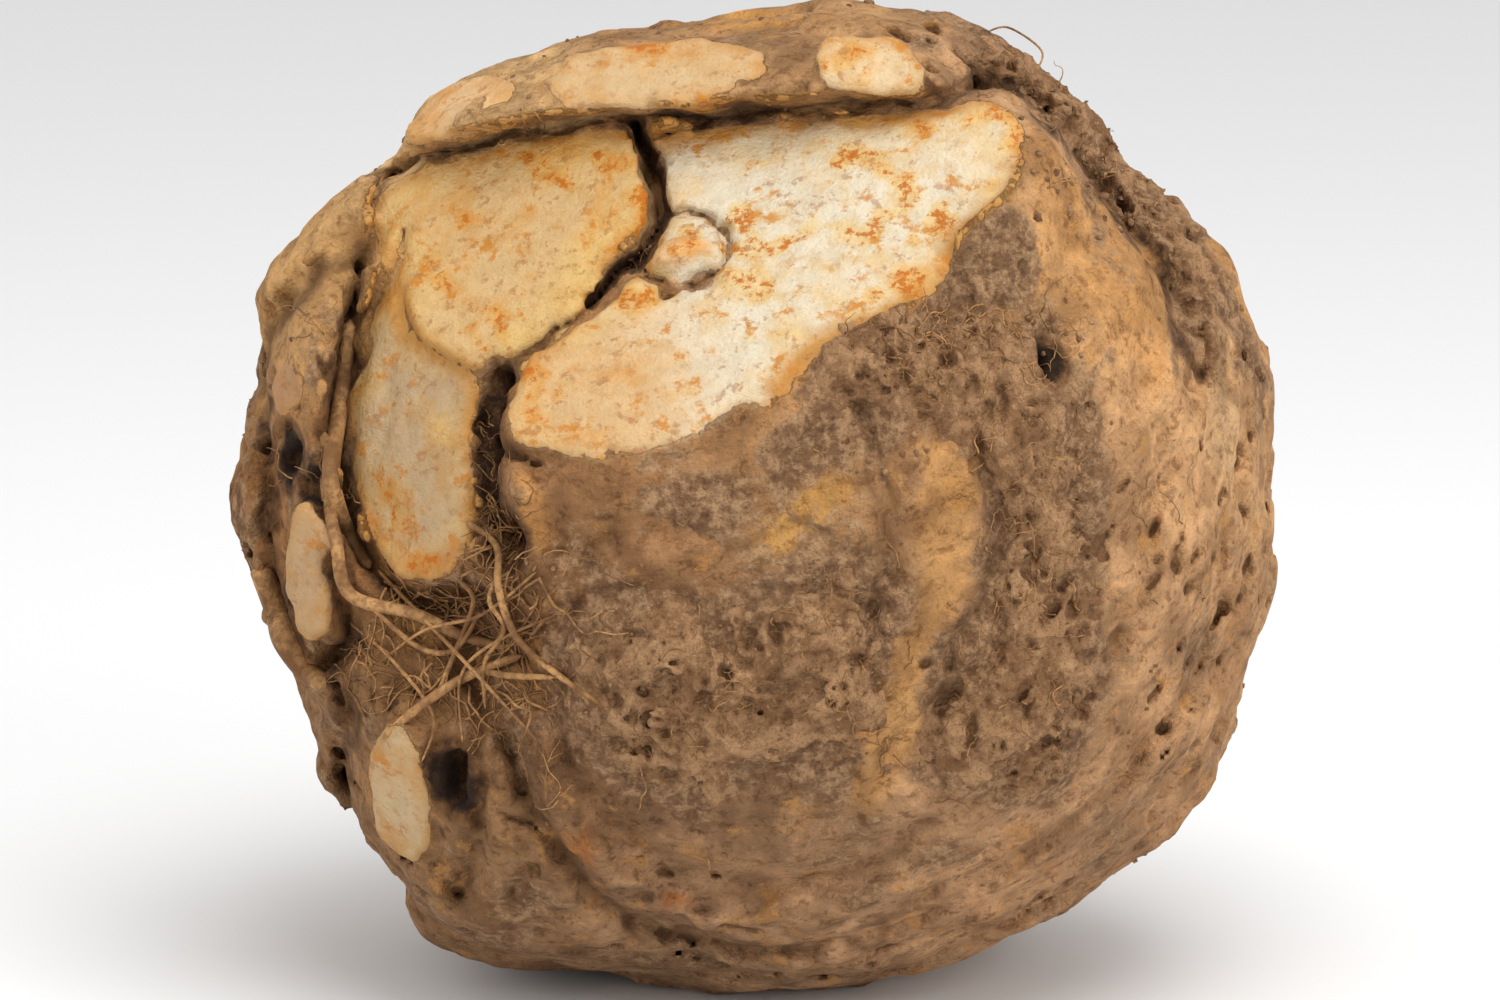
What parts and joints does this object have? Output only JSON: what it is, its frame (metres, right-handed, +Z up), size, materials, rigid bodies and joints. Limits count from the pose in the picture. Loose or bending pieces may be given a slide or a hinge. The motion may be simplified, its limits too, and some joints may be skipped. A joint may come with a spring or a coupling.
{
  "type": "celeriac",
  "caption": "Whole unpeeled celeriac root, lying on its side: knife-cut root end, trimmed root stumps, wrinkled skin, trimmed leaf crown and caked earth.",
  "frame": {"origin": "centre of the part's plan box, on the surface it rests on", "axes": "+Z up; +X to the right of the picture; -Y towards the picture's camera, where the knife-cut root end faces up and forward; the leaf crown is at the back, +Y"},
  "size_m": [0.1243, 0.121, 0.117],
  "materials": {
    "root_skin_and_flesh": "matt tan-brown wrinkled root skin; cream-white cut flesh with orange stains",
    "earth": "dry crumbly brown earth with fine root fibres"
  },
  "bodies": {
    "root": {"celeriac_root": "root_skin_and_flesh", "earth_front": "earth", "earth_middle": "earth", "earth_shoulder": "earth", "earth_back": "earth"}
  },
  "joints": []
}
